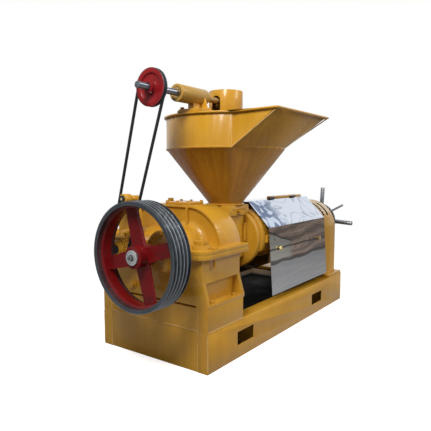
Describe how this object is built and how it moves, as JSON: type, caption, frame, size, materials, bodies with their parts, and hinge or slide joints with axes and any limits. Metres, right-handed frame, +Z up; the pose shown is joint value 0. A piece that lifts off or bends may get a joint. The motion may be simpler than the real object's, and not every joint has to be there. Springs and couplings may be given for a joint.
{
  "type": "screw oil press",
  "caption": "Screw oil press with belt-driven gearbox, hopper with side chute and feed auger, barrel cage under a hinged steel guard, and a thrust frame with adjusting handle.",
  "frame": {"origin": "centre of the foundation bolt rectangle on the underside of the base", "axes": "+X along the press from the big pulley to the adjusting handle, +Y away from the hopper's chute, +Z up"},
  "size_m": [2.354, 1.065, 1.5853],
  "materials": {
    "yellow_paint": "gloss golden yellow paint",
    "red_paint": "dark red gloss paint",
    "belt_rubber": "matt black rubber",
    "bright_steel": "polished steel",
    "stainless": "mirror stainless sheet",
    "gear_steel": "oiled machined steel",
    "cage_iron": "painted casting",
    "bronze": "machined bronze",
    "brass": "polished brass",
    "tray_black": "dark oily sheet"
  },
  "bodies": {
    "root": {"base_rail_near": "yellow_paint", "base_rail_far": "yellow_paint", "cross_members": "yellow_paint", "gearbox_riser": "yellow_paint", "gearbox_lower_housing": "yellow_paint", "gearbox_upper_housing": "yellow_paint", "inspection_cover": "yellow_paint", "breather_plug": "yellow_paint", "drain_plug": "yellow_paint", "input_bearing_cover": "yellow_paint", "layshaft_bearing_cover": "yellow_paint", "screw_bearing_cover": "yellow_paint", "joint_bolts": "yellow_paint", "foot_bolts": "yellow_paint", "cover_bolts": "yellow_paint", "idler_bracket": "yellow_paint", "feed_box": "yellow_paint", "neck_block": "yellow_paint", "feed_flange": "yellow_paint", "cage_end_ring": "yellow_paint", "hopper": "yellow_paint", "hopper_rim": "yellow_paint", "feeder_bridge": "yellow_paint", "feeder_bearing_tube": "yellow_paint", "feeder_saddle": "yellow_paint", "saddle_bolts": "yellow_paint", "bevel_housing": "yellow_paint", "thrust_frame": "yellow_paint", "guard_hoops": "yellow_paint", "guard_rail": "yellow_paint", "feeder_belt": "belt_rubber", "guard_hinges": "bright_steel", "cage_bolts": "bright_steel", "guard_far_sheet": "stainless", "shaft_bearings": "gear_steel", "cage_bars": "gear_steel", "cage_upper": "cage_iron", "cage_lower": "cage_iron", "feeder_bushes": "bronze", "thrust_nut": "bronze", "oil_tray": "tray_black"},
    "drive": {"input_shaft": "gear_steel", "main_pulley": "red_paint", "pulley_end_cap": "bright_steel"},
    "layshaft_set": {"layshaft": "gear_steel", "feeder_drive_pulley": "yellow_paint"},
    "screw": {"bull_gear": "gear_steel", "main_screw": "gear_steel"},
    "feeder": {"feeder_shaft": "bright_steel", "feeder_pulley": "red_paint"},
    "auger": {"feed_auger": "gear_steel"},
    "idler": {"idler_roller": "yellow_paint"},
    "gate": {"feed_gate": "yellow_paint"},
    "door": {"guard_door": "stainless", "guard_knobs": "brass"},
    "thrust": {"thrust_block": "gear_steel"},
    "hand_wheel": {"thrust_spindle": "bright_steel", "hand_hub": "bright_steel", "handle_rods": "bright_steel"},
    "lock": {"lock_nut": "bright_steel"}
  },
  "joints": [
    {"name": "main_spin", "type": "hinge", "parent": "root", "child": "drive", "pos_m": [-1, -0.12, 0.63], "axis": [1, 0, 0], "continuous": true},
    {"name": "layshaft_spin", "type": "hinge", "parent": "root", "child": "layshaft_set", "pos_m": [-0.8, 0.14, 0.63], "axis": [1, 0, 0], "continuous": true},
    {"name": "screw_spin", "type": "hinge", "parent": "root", "child": "screw", "pos_m": [0, -0.12, 0.63], "axis": [1, 0, 0], "continuous": true},
    {"name": "feeder_spin", "type": "hinge", "parent": "root", "child": "feeder", "pos_m": [-0.8, -0.12, 1.487], "axis": [1, 0, 0], "continuous": true},
    {"name": "auger_spin", "type": "hinge", "parent": "root", "child": "auger", "pos_m": [-0.361, -0.12, 1.2], "axis": [0, 0, 1], "continuous": true},
    {"name": "idler_spin", "type": "hinge", "parent": "root", "child": "idler", "pos_m": [-1.021, 0.09615, 0.91063], "axis": [1, 0, 0], "continuous": true},
    {"name": "gate_slide", "type": "slide", "parent": "root", "child": "gate", "axis": [0, -1, 0], "range_m": [0, 0.13]},
    {"name": "guard_hinge", "type": "hinge", "parent": "root", "child": "door", "pos_m": [0.2, -0.188, 0.8713], "axis": [-1, 0, 0], "range_deg": [0, 100]},
    {"name": "thrust_slide", "type": "slide", "parent": "root", "child": "thrust", "axis": [1, 0, 0], "range_m": [-0.0065, 0.0065]},
    {"name": "hand_turn", "type": "hinge", "parent": "thrust", "child": "hand_wheel", "pos_m": [1.1, -0.12, 0.63], "axis": [1, 0, 0], "range_deg": [-360, 360]},
    {"name": "lock_turn", "type": "hinge", "parent": "root", "child": "lock", "pos_m": [0.93, -0.12, 0.63], "axis": [1, 0, 0], "range_deg": [-30, 60]}
  ],
  "couplings": [
    {"joint": "layshaft_spin", "follows": "main_spin", "ratio": -0.33333},
    {"joint": "screw_spin", "follows": "main_spin", "ratio": 0.096774},
    {"joint": "feeder_spin", "follows": "main_spin", "ratio": -0.23243},
    {"joint": "auger_spin", "follows": "main_spin", "ratio": 0.23243},
    {"joint": "idler_spin", "follows": "main_spin", "ratio": -0.76786},
    {"joint": "thrust_slide", "follows": "hand_turn", "m_per_rad": 0.00095493}
  ]
}
